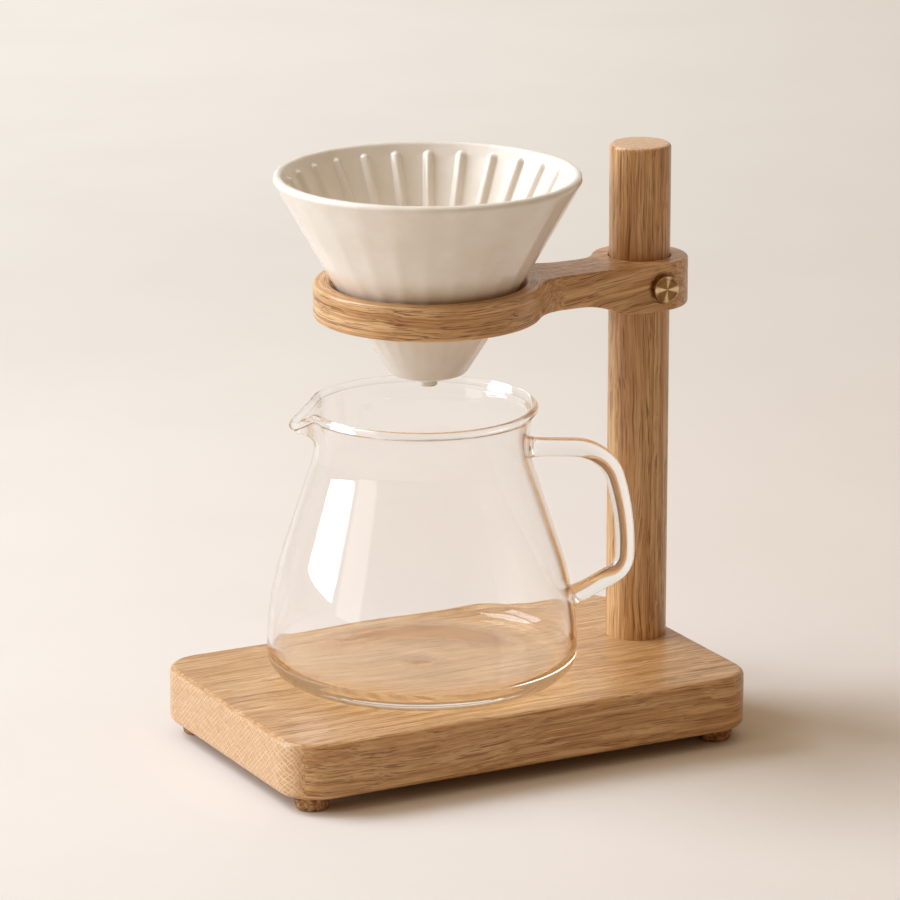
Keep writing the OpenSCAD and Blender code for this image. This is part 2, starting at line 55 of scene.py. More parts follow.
def add_object(name, data):
    """A new object of the scene."""
    made = bpy.data.objects.new(name, data)
    bpy.context.scene.collection.objects.link(made)
    return made


# ---------------------------------------------------------------- camera

# Fitted to the reference photo; the yaw is from +Y towards +X
CAMERA_PLACE = (-0.89077, -1.69847, 0.65106)
CAMERA_YAW, CAMERA_PITCH = math.radians(27.60), math.radians(-15.60)
CAMERA_LENS, CAMERA_SENSOR = 206.61, 36.0


def add_camera():
    data = bpy.data.cameras.new("camera")
    data.lens, data.sensor_width = CAMERA_LENS, CAMERA_SENSOR
    data.clip_start, data.clip_end = 0.05, 50
    ahead = Vector((
        math.sin(CAMERA_YAW) * math.cos(CAMERA_PITCH),
        math.cos(CAMERA_YAW) * math.cos(CAMERA_PITCH),
        math.sin(CAMERA_PITCH),
    ))
    camera = add_object("camera", data)
    camera.location = CAMERA_PLACE
    camera.rotation_euler = ahead.to_track_quat("-Z", "Y").to_euler()
    bpy.context.scene.camera = camera


# ---------------------------------------------------------------- node graphs


class Graph:
    """The nodes of a new material or world. Its methods add nodes and return their outputs."""

    def __init__(self, owner):
        owner.use_nodes = True
        self.owner, self.tree = owner, owner.node_tree
        self.tree.nodes.clear()

    def node(self, kind, *values, **settings):
        """A node whose inputs take the values, in order; None leaves an input as it is."""
        node = self.tree.nodes.new("ShaderNode" + kind)
        for name, value in settings.items():
            setattr(node, name, value)
        for socket, value in zip(node.inputs, values):
            self.feed(socket, value)
        return node

    def feed(self, socket, value):
        """Links an output to a socket, or sets the socket to a plain value."""
        if isinstance(value, bpy.types.NodeSocket):
            self.tree.links.new(value, socket)
        elif value is not None:
            if socket.type == "RGBA" and len(value) == 3:
                value = (*value, 1)
            socket.default_value = value

    def math(self, operation, *values, clamp=False):
        return self.node("Math", *values, operation=operation, use_clamp=clamp).outputs[0]

    def hypot(self, x, y):
        squares = (self.math("MULTIPLY", x, x), self.math("MULTIPLY", y, y))
        return self.math("SQRT", self.math("ADD", *squares))

    def turned(self, x, y, angle):
        """The two coordinates of x, y after a turn by an angle."""
        cos, sin = math.cos(angle), math.sin(angle)
        return (self.math("SUBTRACT", self.math("MULTIPLY", x, cos), self.math("MULTIPLY", y, sin)),
                self.math("ADD", self.math("MULTIPLY", x, sin), self.math("MULTIPLY", y, cos)))

    def point(self, x, y, z):
        return self.node("CombineXYZ", x, y, z).outputs[0]

    def split(self, vector):
        return self.node("SeparateXYZ", vector).outputs

    def split_mm(self, where):
        return [self.math("MULTIPLY", c, 1 / MM) for c in self.split(where)]

    def noise(self, where, scale=1, detail=2, roughness=0.5):
        node = self.node("TexNoise", noise_dimensions="3D")
        for name, value in (("Vector", where), ("Scale", scale), ("Detail", detail),
                            ("Roughness", roughness)):
            self.feed(node.inputs[name], value)
        return node.outputs[0]

    def step(self, value, low, high, to_low=0.0, to_high=1.0, curve="SMOOTHSTEP"):
        """Turns value from to_low at low to to_high at high, smoothly or by a LINEAR curve."""
        return self.node("MapRange", value, low, high, to_low, to_high,
                         interpolation_type=curve).outputs[0]

    def lerp(self, share, first, second):
        return self.node("Mix", share, None, first, second, data_type="FLOAT").outputs[0]

    def mix(self, share, first, second):
        """A colour between two colours."""
        node = self.node("Mix", data_type="RGBA", clamp_factor=True)
        for socket, value in zip((node.inputs[0], node.inputs[6], node.inputs[7]),
                                 (share, first, second)):
            self.feed(socket, value)
        return node.outputs[2]

    def ramp(self, value, *stops):
        node = self.node("ValToRGB", value)
        marks = node.color_ramp.elements
        for i, (at, color) in enumerate(stops):
            mark = marks[i] if i < 2 else marks.new(at)
            mark.position, mark.color = at, (*color, 1)
        return node.outputs[0]

    def bump(self, height, depth):
        """The normal of a face whose height goes up and down by a depth in metres."""
        node = self.node("Bump")
        self.feed(node.inputs["Height"], height)
        node.inputs["Strength"].default_value = 1
        node.inputs["Distance"].default_value = depth
        return node.outputs[0]

    def principled(self, **values):
        """The shader; a name's underscores stand for the spaces in the socket's name."""
        node = self.node("BsdfPrincipled")
        for name, value in values.items():
            self.feed(node.inputs[name.replace("_", " ")], value)
        return node.outputs[0]

    def finish(self, shader, output="OutputMaterial"):
        """Links the shader to the output and returns the material or world."""
        self.tree.links.new(shader, self.node(output).inputs[0])
        return self.owner


def srgb(*levels):
    """Linear colour of an 8-bit sRGB one."""
    shares = [level / 255 for level in levels]
    return tuple(s / 12.92 if s <= 0.04 else ((s + 0.055) / 1.055) ** 2.4 for s in shares)


# ---------------------------------------------------------------- oak

OAK_PALE, OAK_STREAK = srgb(226, 183, 129), srgb(182, 127, 69)
OAK_EARLY = srgb(174, 118, 66)  # the porous start of each year

# How the grain bends: length and width of a wave in millimetres, and how far it swings
BENDS = ((75, 34, 8), (17, 6, 1.5))

# Two widths of streaks: length and width in millimetres, roughness and share
STREAKS, STREAK_LEVELS = ((60, 1.7, 0.55, 0.55), (26, 0.6, 0.6, 0.45)), (0.36, 0.66)

# Broad patches, short fine pores and long open ones: length and width in millimetres, the levels
# of the noise between which they show, how strongly they cover, and their colour
PATCH, PATCH_LEVELS, PATCH_SHARE, PATCH_COLOR = (120, 8), (0.35, 0.68), 0.35, srgb(190, 136, 77)
FINE, FINE_LEVELS, FINE_SHARE, FINE_COLOR = (9, 0.3), (0.52, 0.68), 0.3, srgb(146, 94, 50)
PORE, PORE_LEVELS, PORE_SHARE, PORE_COLOR = (26, 0.44), (0.605, 0.69), 0.6, srgb(112, 66, 30)

# An end's colour, and the lines on it: angle in degrees, spacing in millimetres, how broken
END_COLOR, END_LINE_COLOR = srgb(204, 160, 116), srgb(240, 210, 174)
END_RAYS, END_RINGS = (-26, 1.5, 0.3), (40, 1.6, 0.36)

# The arm's grain, from the ring's middle: where it goes over from round to straight, how far along
# and across the straight part starts so that the two meet there, and how much the neck's grain dips
RING_TO_NECK, NECK_START, NECK_DIP = (30, 50), (64, 24), 0.13

# Parts of a face's normal between which it turns into an end, and into an upright side
END_FACING, UPRIGHT_FACING = (0.62, 0.88), (0.75, 0.35)


def grain_place(g, along, ring_mm, side_mm):
    """A place along the grain and across it both ways, in millimetres, and how far the face there
    is an end, from 0 to 1, or None on a piece whose grain shows no end."""
    place = g.node("TexCoord").outputs
    x, y, z = g.split_mm(place["Object"])
    u, v, w = {"x": (x, y, z), "z": (z, x, y)}[along]
    if ring_mm:
        ring_x, ring_y, ring_r = ring_mm
        from_x = g.math("SUBTRACT", x, ring_x)
        from_y = g.math("ABSOLUTE", g.math("SUBTRACT", y, ring_y))
        round_u = g.math("MULTIPLY", g.math("ARCTAN2", from_y, from_x), -ring_r)
        round_v = g.math("SUBTRACT", g.hypot(from_x, from_y), ring_r)
        straight = g.step(from_x, *RING_TO_NECK)
        u = g.lerp(straight, round_u, g.math("SUBTRACT", from_x, NECK_START[0]))
        v = g.lerp(straight, round_v, g.math("SUBTRACT", from_y, NECK_START[1]))
        dip = g.math("MULTIPLY", g.math("MULTIPLY", from_x, straight), NECK_DIP)
        return u, v, g.math("SUBTRACT", w, dip), None
    facing = g.split(place["Normal"])
    end = g.step(g.math("ABSOLUTE", facing[{"x": 0, "z": 2}[along]]), *END_FACING)
    if side_mm:
        # Past a corner, what goes inwards from the side goes on along the grain
        upright = g.step(g.math("ABSOLUTE", facing[2]), *UPRIGHT_FACING)
        inwards = g.math("SUBTRACT", side_mm, g.math("ABSOLUTE", v))
        side = g.math("MULTIPLY", g.math("SIGN", v), side_mm)
        further = g.math("MULTIPLY", g.math("MULTIPLY", inwards, upright), g.math("SIGN", u))
        u = g.math("ADD", u, further)
        v = g.lerp(g.math("MULTIPLY", upright, g.math("SUBTRACT", 1.0, end)), v, side)
    return u, v, w, end


def grain(g, place, along_mm, across_mm, detail=2, roughness=0.5):
    """Noise at a place u, v, w, with spots of a length along the grain and a width across it."""
    shares = (1 / along_mm, 1 / across_mm, 1 / across_mm)
    spot = g.point(*(g.math("MULTIPLY", c, share) for c, share in zip(place, shares)))
    return g.noise(spot, detail=detail, roughness=roughness)


def end_lines(g, v, w, angle, spacing_mm, broken):
    """Thin lines across an end, wavering and broken, from 0 beside them to 1 on them."""
    along_line, across = g.turned(v, w, math.radians(angle))
    waver = g.noise(g.point(g.math("MULTIPLY", across, 0.3), g.math("MULTIPLY", along_line, 0.07),
                            0.0), detail=1)
    wave = g.math("MULTIPLY_ADD", across, math.tau / spacing_mm, g.math("MULTIPLY", waver, 5))
    gaps = g.noise(g.point(across, g.math("MULTIPLY", along_line, 0.12), 4.0), detail=1)
    return g.math("MULTIPLY", g.step(g.math("SINE", wave), 0.3, 0.95),
                  g.step(gaps, broken, broken + 0.2))


def oak(name, along, pith_mm, seed=0.0, contrast=1.0, year_mm=3.6, ring_mm=None, side_mm=None):
    """Oiled oak. along is the axis of the grain, and pith_mm where the tree's middle was on the
    other two axes, in their order. A year's ring is year_mm wide. The grain runs round a ring at
    ring_mm: x, y and radius. On upright faces it runs on round the corners of a board whose sides
    are side_mm from its middle."""
    g = Graph(bpy.data.materials.new(name))
    u, v, w, end = grain_place(g, along, ring_mm, side_mm)
    u = g.math("ADD", u, seed)

    # The grain isn't straight: it bends across itself, both ways together
    sway, wobble = (g.math("MULTIPLY_ADD", grain(g, (u, v, w), *size, detail=1), swing, -swing / 2)
                    for *size, swing in BENDS)
    bend = g.math("ADD", sway, wobble)
    v, w = g.math("ADD", v, bend), g.math("ADD", w, g.math("MULTIPLY", bend, -0.8))
    place = u, v, w

    # Growth rings, each with a porous, darker start
    from_pith = [g.math("SUBTRACT", c, pith) for c, pith in zip((v, w), pith_mm)]
    year = g.math("MULTIPLY", g.hypot(*from_pith), 1 / year_mm)
    share = g.math("FRACT", year)
    early = g.math("MAXIMUM", g.step(share, 0.0, 0.5, 1, 0), g.step(share, 0.82, 1.0))
    tint = g.node("TexWhiteNoise", None, g.math("FLOOR", year), noise_dimensions="1D").outputs[0]

    # Streaks and broad patches, and pores, of which the long ones keep to the porous part
    streak = g.math("ADD", *(g.math("MULTIPLY", grain(g, place, *size, roughness=rough), part)
                             for *size, rough, part in STREAKS))
    streak = g.math("MULTIPLY_ADD", g.math("SUBTRACT", streak, 0.5), contrast, 0.5)
    streak = g.step(streak, *STREAK_LEVELS)
    pore = g.math("MULTIPLY_ADD", early, 0.05, grain(g, place, *PORE, detail=1))
    pore = g.step(pore, *PORE_LEVELS)
    fine = g.step(grain(g, place, *FINE, detail=1), *FINE_LEVELS)
    patch = g.step(grain(g, place, *PATCH), *PATCH_LEVELS)
    early_share = g.math("MULTIPLY", early, g.math("MULTIPLY_ADD", tint, 0.45, 0.12))

    color = g.mix(streak, OAK_PALE, OAK_STREAK)
    color = g.mix(g.math("MULTIPLY", patch, PATCH_SHARE), color, PATCH_COLOR)
    color = g.mix(early_share, color, OAK_EARLY)
    color = g.mix(g.math("MULTIPLY", fine, FINE_SHARE * contrast), color, FINE_COLOR)
    color = g.mix(g.math("MULTIPLY", pore, PORE_SHARE * contrast), color, PORE_COLOR)
    if end is not None:
        # Ends: thin pale lines that cross, the rays and the growth rings, over a fine grain
        crossed = g.math("MAXIMUM", end_lines(g, v, w, *END_RAYS), end_lines(g, v, w, *END_RINGS))
        on_end = g.mix(0.6, color, END_COLOR)
        on_end = g.mix(g.math("MULTIPLY", crossed, 0.5), on_end, END_LINE_COLOR)
        color = g.mix(end, color, on_end)

    hollow = g.math("MULTIPLY", g.math("ADD", fine, streak), -0.25)
    hollow = g.math("MULTIPLY_ADD", pore, -1, hollow)
    rough = g.math("MULTIPLY_ADD", pore, 0.2, g.math("MULTIPLY_ADD", streak, 0.08, 0.42))
    return g.finish(g.principled(
        Base_Color=color, Roughness=rough, Specular_IOR_Level=0.2, Coat_Weight=0.6,
        Coat_Roughness=0.28, Coat_IOR=1.5, Normal=g.bump(hollow, 0.09 * MM)))


# ---------------------------------------------------------------- other materials

# The scales of the noises are per metre
CORK_SHADES = ((0.0, srgb(118, 80, 48)), (0.55, srgb(160, 116, 76)), (1.0, srgb(190, 148, 106)))
CORK_SPECK = srgb(64, 36, 20)
BRASS_PALE, BRASS_RUBBED = srgb(196, 160, 112), srgb(176, 138, 90)
# Painted light on the knob's spun face: two darker colours of painted shade, and a pale one of
# painted highlight
SPUN_SHADE_DARK, SPUN_SHADE_MID, SPUN_HIGHLIGHT = srgb(126, 92, 54), srgb(148, 112, 68), srgb(232, 206, 162)
SPUN_R = 5.2  # the knob's spun face, within its bevel
STEEL_PALE, STEEL_DULL = srgb(196, 197, 198), srgb(170, 172, 175)
GLAZE_PALE, GLAZE_DEEP, GLAZE_FLECK = srgb(240, 231, 218), srgb(233, 222, 206), srgb(205, 182, 150)


def surface(name):
    """The graph of a new material, and the place on it."""
    g = Graph(bpy.data.materials.new(name))
    return g, g.node("TexCoord").outputs["Object"]


def cork():
    g, where = surface("cork_pressed")
    grains = g.node("TexVoronoi", voronoi_dimensions="3D")
    g.feed(grains.inputs["Vector"], where)
    g.feed(grains.inputs["Scale"], 900)
    shade = g.node("SeparateColor", grains.outputs["Color"]).outputs[0]
    speck = g.step(g.noise(where, scale=1500), 0.6, 0.7)
    color = g.mix(g.math("MULTIPLY", speck, 0.7), g.ramp(shade, *CORK_SHADES), CORK_SPECK)
    height = g.math("SUBTRACT", g.math("MULTIPLY", grains.outputs["Distance"], -1), speck)
    return g.finish(g.principled(Base_Color=color, Roughness=0.85, Specular_IOR_Level=0.25,
                                 Normal=g.bump(height, 0.15 * MM)))


def brass(name, spun_mm=None):
    """Turned brass. A face spun round spun_mm, its x and z, has fine rings and painted light: its
    colour is painted darker than the brass as painted shade, with pale wedges of painted highlight
    in an X where the rings would catch the light."""
    g, where = surface(name)
    rub = g.noise(where, scale=350, detail=4)
    color = g.mix(g.step(rub, 0.35, 0.7), BRASS_PALE, BRASS_RUBBED)
    values = dict(Base_Color=color, Metallic=1.0, Roughness=g.step(rub, 0.3, 0.75, 0.26, 0.34))
    if spun_mm:
        x, _, z = g.split_mm(where)
        x, z = g.math("SUBTRACT", x, spun_mm[0]), g.math("SUBTRACT", z, spun_mm[1])
        out, turn = g.hypot(x, z), g.math("ARCTAN2", z, x)
        four, two = (g.math("COSINE", g.math("MULTIPLY_ADD", turn, count, shift))
                     for count, shift in ((4, math.radians(20)), (2, -0.8)))
        # Painted light: wedges of painted highlight in an X, over rings painted in shade, darker
        # than the brass
        highlight_wedge = g.step(g.math("MULTIPLY_ADD", two, 0.3, four), 0.1, 1.2)
        rings = g.noise(g.point(g.math("MULTIPLY", out, 5), 0.0, 0.0), detail=1)
        spun = g.mix(highlight_wedge, g.mix(rings, SPUN_SHADE_DARK, SPUN_SHADE_MID), SPUN_HIGHLIGHT)
        values["Base_Color"] = g.mix(g.step(out, SPUN_R - 0.3, SPUN_R), spun, color)
        values["Anisotropic"] = 0.85
        values["Tangent"] = g.node("Tangent", direction_type="RADIAL", axis="Y").outputs[0]
        values["Normal"] = g.bump(rings, 0.02 * MM)
    return g.finish(g.principled(**values))


def steel():
    g, where = surface("steel_zinc")
    cloud = g.noise(where, scale=500, detail=3)
    color = g.mix(g.step(cloud, 0.35, 0.7), STEEL_PALE, STEEL_DULL)
    return g.finish(g.principled(Base_Color=color, Metallic=1.0,
                                 Roughness=g.step(cloud, 0.3, 0.8, 0.3, 0.5)))


def glaze():
    g, where = surface("glaze_cream")
    cloud = g.noise(where, scale=60, detail=3)
    fleck = g.step(g.noise(where, scale=900, detail=1), 0.74, 0.8)
    color = g.mix(g.step(cloud, 0.3, 0.7), GLAZE_PALE, GLAZE_DEEP)
    color = g.mix(g.math("MULTIPLY", fleck, 0.25), color, GLAZE_FLECK)
    return g.finish(g.principled(
        Base_Color=color, Roughness=0.32, Specular_IOR_Level=0.5, Coat_Weight=0.5,
        Coat_Roughness=0.08, Normal=g.bump(g.noise(where, scale=130), 0.06 * MM)))


# How often a ray may turn in the glass, and what is left of it when it then goes straight on; one
# that comes from a matt face starts far below that number
LAST_TURN, TIRED_TINT, HEAD_START = 4.5, (0.82, 0.70, 0.57), -100
LAMP_TINT = (0.93, 0.93, 0.92)


def glass():
    """Clear glass. Rays from the lamps pass it, so that what stands behind it is lit. A ray that
    has been thrown about in the thick foot goes straight on, so that it doesn't end there in
    black, unless it comes from a matt face."""
    g = Graph(bpy.data.materials.new("glass_clear"))
    path = g.node("LightPath").outputs
    turns = g.math("MULTIPLY_ADD", path["Diffuse Depth"], HEAD_START, path["Ray Depth"])
    tired = g.math("GREATER_THAN", turns, LAST_TURN)
    clear = g.principled(Base_Color=(1, 1, 1), Roughness=0.0, IOR=1.47, Transmission_Weight=1.0)
    past, to_lamp = (g.node("BsdfTransparent", c).outputs[0] for c in (TIRED_TINT, LAMP_TINT))
    clear = g.node("MixShader", tired, clear, past).outputs[0]
    return g.finish(g.node("MixShader", path["Is Shadow Ray"], clear, to_lamp).outputs[0])


# ---------------------------------------------------------------- stage and light

# Painted light: the floor's colour is painted paler on the camera's left than on its right, as the
# light falls off; the room round it is paler on the left too
LIGHT_FALL_LEFT, LIGHT_FALL_RIGHT, FLOOR_CLOUD = srgb(240, 233, 224), srgb(221, 210, 198), srgb(196, 184, 170)
LIGHT_FALL_HALF = 0.30  # from the middle to where the floor is wholly LIGHT_FALL_LEFT or LIGHT_FALL_RIGHT
# A painted glow: a paler patch, a pool of light painted on the floor far behind the object
PAINTED_GLOW_COLOR, GLOW_PLACE, GLOW_R, GLOW_SHARE = srgb(250, 243, 234), (0.30, 1.45, 0.0), 0.9, 0.6
# The floor takes light and shadows up to the first distance; from the second it is a plain colour
FLOOR_LIT, FLOOR_PLAIN, FLOOR_HALF = 0.32, 0.85, 6.0

# Light of the room at the horizon and overhead, and how it looks behind the camera
LOW_LIGHT, TOP_LIGHT, NEAR_ROOM = (0.10, 0.068, 0.036), (0.78, 0.62, 0.45), (0.44, 0.38, 0.32)

# Name, azimuth from +X towards +Y and elevation in degrees, width and height, power, colour
LAMPS = (
    ("sky_window", 140, 50, 2.4, 2.6, 178, (0.92, 1.04, 1.22)),
    ("tall_window", 152, 17, 2.9, 2.2, 128, (0.92, 1.04, 1.20)),
    ("side_light", 184, 24, 1.9, 4.0, 30, (1.0, 0.94, 0.87)),
)
LAMP_AIM, LAMP_DISTANCE = Vector((0, 0, 0.09)), 5.0


def looked_at(g):
    """1 for a ray from the camera, also by way of a mirror or glass, and 0 for one that lights."""
    path = g.node("LightPath").outputs
    bent = g.math("MAXIMUM", path["Is Glossy Ray"], path["Is Transmission Ray"])
    return g.math("MAXIMUM", path["Is Camera Ray"], bent)


def add_stage():
    """The floor. Its colour has painted light: it is painted paler on the camera's left than on its
    right, and paler still in a painted glow far behind the object. Near the object the lamps light
    it and it takes the shadows; further off its own pale colour is seen as it is."""
    half = FLOOR_HALF
    mesh = bpy.data.meshes.new("floor")
    mesh.from_pydata([(-half, -half, 0), (half, -half, 0), (half, half, 0), (-half, half, 0)], [],
                     [(0, 1, 2, 3)])
    floor = add_object("floor", mesh)
    g, where = surface("floor_pale_painted_light")
    x, y, _ = g.split(where)
    right, _ = g.turned(x, y, CAMERA_YAW)
    # Painted light: the floor's colour goes from paler on the camera's left to darker on its right
    share = g.math("MULTIPLY_ADD", right, 0.5 / LIGHT_FALL_HALF, 0.5, clamp=True)
    pale = g.mix(share, LIGHT_FALL_LEFT, LIGHT_FALL_RIGHT)
    # Painted glow: a pool of light painted on the floor far behind the object
    glow = g.node("VectorMath", where, GLOW_PLACE, operation="DISTANCE").outputs["Value"]
    pale = g.mix(g.step(glow, 0.0, GLOW_R, GLOW_SHARE, 0.0), pale, PAINTED_GLOW_COLOR)
    cloud = g.step(g.noise(where, scale=9, detail=3), 0.35, 0.7)
    pale = g.mix(g.math("MULTIPLY", cloud, 0.05), pale, FLOOR_CLOUD)
    lit = g.principled(Base_Color=pale, Roughness=0.75, Specular_IOR_Level=0.0)
    plain = g.node("Emission", pale).outputs[0]
    far = g.node("VectorMath", where, operation="LENGTH").outputs["Value"]
    share = g.math("MULTIPLY", looked_at(g), g.step(far, FLOOR_LIT, FLOOR_PLAIN))
    mesh.materials.append(g.finish(g.node("MixShader", share, lit, plain).outputs[0]))


def add_lamp(name, azimuth, elevation, width, height, power, color):
    """A soft box that faces the object."""
    data = bpy.data.lights.new(name, "AREA")
    data.shape, data.size, data.size_y = "RECTANGLE", width, height
    data.energy, data.color = power, color
    a, e = math.radians(azimuth), math.radians(elevation)
    towards = Vector((math.cos(a) * math.cos(e), math.sin(a) * math.cos(e), math.sin(e)))
    lamp = add_object(name, data)
    lamp.location = LAMP_AIM + towards.normalized() * LAMP_DISTANCE
    lamp.rotation_euler = towards.to_track_quat("Z", "Y").to_euler()


def add_light():
    """A high and a tall window behind on the left, a weak one at the left, and the room. Seen in
    a mirror or through glass, the room is as pale as the floor; as a light it is bright only
    overhead."""
    for lamp in LAMPS:
        add_lamp(*lamp)
    g = Graph(bpy.data.worlds.new("world"))
    x, y, z = g.split(g.node("TexCoord").outputs["Generated"])
    up = g.math("POWER", g.math("MAXIMUM", z, 0.0), 2.0)
    right, ahead = g.turned(x, y, CAMERA_YAW)
    pale = g.mix(g.step(right, -0.6, 0.6, curve="LINEAR"), LIGHT_FALL_LEFT, LIGHT_FALL_RIGHT)
    pale = g.mix(g.step(ahead, -0.3, -0.8, curve="LINEAR"), pale, NEAR_ROOM)
    color = g.mix(looked_at(g), g.mix(up, LOW_LIGHT, TOP_LIGHT), pale)
    world = g.finish(g.node("Background", color).outputs[0], "OutputWorld")
    bpy.context.scene.world = world
    bpy.context.scene.view_settings.view_transform = "Standard"


# ---------------------------------------------------------------- mesh helpers


def arc(x, y, radius, start, end, steps):
    """Points of an arc, from one angle to another in degrees, both ends among them."""
    angles = (math.radians(start + (end - start) * i / steps) for i in range(steps + 1))
    return [(x + radius * math.cos(a), y + radius * math.sin(a)) for a in angles]


def circle(x, y, radius, steps):
    return arc(x, y, radius, 0, 360, steps)[:-1]


def line(start, end, steps):
    """Points from start to end, both among them."""
    return [tuple(a + (b - a) * i / steps for a, b in zip(start, end)) for i in range(steps + 1)]


def smooth(share):
    """0 at or below 0, 1 at or above 1, and smooth between them."""
    share = min(max(share, 0), 1)
    return share * share * (3 - 2 * share)


def skin(rows, closed=False):
    """Vertices and faces over rows of points, each row a ring; a row of one point is a pole."""
    points, starts = [], []
    for row in rows:
        starts.append(len(points))
        points.extend(row)
    faces = []
    pairs = [(i, i + 1) for i in range(len(rows) - 1)] + ([(len(rows) - 1, 0)] if closed else [])
    for i, j in pairs:
        count = max(len(rows[i]), len(rows[j]))
        for k in range(count):
            n = (k + 1) % count
            face = [starts[i] + k, starts[i] + n, starts[j] + n, starts[j] + k]
            if len(rows[i]) == 1:
                face = [starts[i], face[2], face[3]]
            elif len(rows[j]) == 1:
                face = [face[0], face[1], starts[j]]
            faces.append(face)
    return points, faces


def add_piece(name, points, faces, place, material, body, node, sharp):
    """A mesh of points in millimetres, put in place and standing for a CAD node. Edges steeper
    than sharp, in degrees, are shaded as edges."""
    mesh = bpy.data.meshes.new(name)
    mesh.from_pydata([place @ (Vector(p) * MM) for p in points], [], faces)
    shape = bmesh.new()
    shape.from_mesh(mesh)
    bmesh.ops.remove_doubles(shape, verts=shape.verts, dist=0.002 * MM)
    bmesh.ops.recalc_face_normals(shape, faces=shape.faces)
    shape.to_mesh(mesh)
    shape.free()
    mesh.shade_smooth()
    mesh.set_sharp_from_angle(angle=math.radians(sharp))
    mesh.materials.append(material)
    piece = add_object(name, mesh)
    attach(piece, body)
    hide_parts(node)
    return piece


def middle(node):
    """The middle of a node's box, on its underside."""
    low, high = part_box(node)
    return Vector(((low.x + high.x) / 2, (low.y + high.y) / 2, low.z))


# ---------------------------------------------------------------- carafe

# The body's outer side, from below: the heel's rounding, the belly, a straight shoulder that leans
# in by SHOULDER degrees, the neck, the flared lip and the rolled bead
HEEL = 9.0
BELLY_R, BELLY_CURVE = 60.3, 130.0
SHOULDER, SHOULDER_CURVE = 18.8, 25.0
NECK_R, NECK_Z, NECK_TOP = 41.6, 91.0, 92.0
LIP_CURVE = 43.8
BEAD, BEAD_R, BEAD_Z = 1.6, 43.3, 105.4
LIP_END = BEAD_Z - 1.8

GLASS, GLASS_SHARP = 2.0, 70  # the wall, and the angle from which an edge looks sharp
FLOOR_Z = 4.6  # the floor's upper side, with a low button in its middle and faint rings round it
BUTTON, BUTTON_R, RIPPLE = 0.5, 7, 0.12
FLOOR_RADII = (0, 1, 2, 3, 4, 5, 6, 7, 8.5, 10, 12, 15, 19, 24, 30, 37, 44)
# The underside is hollow, and stands on a ring; its depth, where it starts, and how far it runs
UNDER_HOLLOW, UNDER_R, UNDER_RUN = 1.2, 49.5, 26
UNDER_RADII = (48.5, 46, 44, 42, 39, 36, 32, 28, 24, 18, 12, 5, 0)

# The spout: half its width in degrees, how far it reaches out and down, and the height above which
# the lip is drawn out in full
SPOUT_SPREAD, SPOUT_REACH, SPOUT_DROP, SPOUT_FULL_Z = 27.0, 6.3, 7.2, 102.5
UNEVEN, UNEVEN_SIZE = 0.05, 23  # how far blown glass strays from round, and over what length
CARAFE_TURN = math.radians(-27.5)  # how the spout and the handle stand to the board

# The rod of the handle is thicker where it is fused to the wall, which it sinks into by FUSED.
# Each RUN is the distance over which something fades, and FUSED_END is where it has faded
ROD_R, ROD_SIDES = 3.7, 28
ROD_FLARE, ROD_FLARE_RUN = 1.9, 1.7
FUSED, FUSED_RUN, FUSED_END = 0.9, 2.5, 8
HANDLE_Z, HANDLE_STRAIGHT = 89.5, 58.4  # its height at the neck, and where the straight part ends
HANDLE_BENDS = ((17, 74, 20), (100, 18, 16), (9, 57, 18))  # radius, degrees, steps


def carafe_side(inset, heel_z):
    """The side's profile from the heel up to just below the bead, drawn in by inset."""
    low = math.degrees(math.asin((heel_z - HEEL) / BELLY_CURVE))
    top = math.degrees(math.asin((LIP_END - NECK_TOP) / (LIP_CURVE + inset)))
    belly = arc(BELLY_R - BELLY_CURVE, HEEL, BELLY_CURVE - inset, low, SHOULDER, steps=14)
    shoulder = arc(NECK_R + SHOULDER_CURVE, NECK_Z, SHOULDER_CURVE + inset,
                   180 + SHOULDER, 180, steps=8)
    lip = arc(NECK_R + LIP_CURVE, NECK_TOP, LIP_CURVE + inset, 180, 180 - top, steps=8)
    return belly + line(belly[-1], shoulder[0], steps=8)[1:-1] + shoulder + lip


def floor_height(radius):
    """Height of the inner floor at a distance from the axis."""
    button = BUTTON * math.exp(-(radius / BUTTON_R) ** 2)
    return FLOOR_Z + button + RIPPLE * math.sin(radius / 2.2) * math.exp(-radius / 14)


def carafe_profile():
    """The wall's profile, from the middle of the inner floor over the rim to the underside's."""
    heel_x = BELLY_R - HEEL
    inner_heel_z = FLOOR_Z + HEEL - GLASS
    inside = [(r, floor_height(r)) for r in FLOOR_RADII]
    inside += arc(heel_x, inner_heel_z, HEEL - GLASS, -90, 0, steps=9)
    inside += carafe_side(GLASS, inner_heel_z)[1:]
    bead = arc(BEAD_R, BEAD_Z, BEAD, 225, -45, steps=16)
    outside = carafe_side(0, HEEL)[::-1] + arc(heel_x, HEEL, HEEL, 0, -90, steps=10)[1:]
    under = [(r, UNDER_HOLLOW * smooth((UNDER_R - r) / UNDER_RUN)) for r in UNDER_RADII]
    return inside + bead + outside + under


def spout_share(turn):
    """How far the lip is drawn out at an angle from the spout's middle, from 0 to 1."""
    turn = abs(turn) / SPOUT_SPREAD
    return math.cos(turn * math.pi / 2) ** 2 if turn < 1 else 0


def carafe_point(radius, height, turn):
    """A point of the profile at an angle from the spout's middle, in degrees. Near the spout the
    lip runs out and down."""
    rise = (height - NECK_TOP) / (SPOUT_FULL_Z - NECK_TOP)
    share, rise = spout_share(turn), min(max(rise, 0), 1)
    radius += SPOUT_REACH * share ** 2 * rise ** 1.4
    height -= SPOUT_DROP * share ** 1.4 * rise ** 1.2
    a = math.radians(180 + turn)
    point = Vector((radius * math.cos(a), radius * math.sin(a), height))
    if radius > 20:
        point.xy *= 1 + UNEVEN / radius * noise.noise(point / UNEVEN_SIZE)
    return point


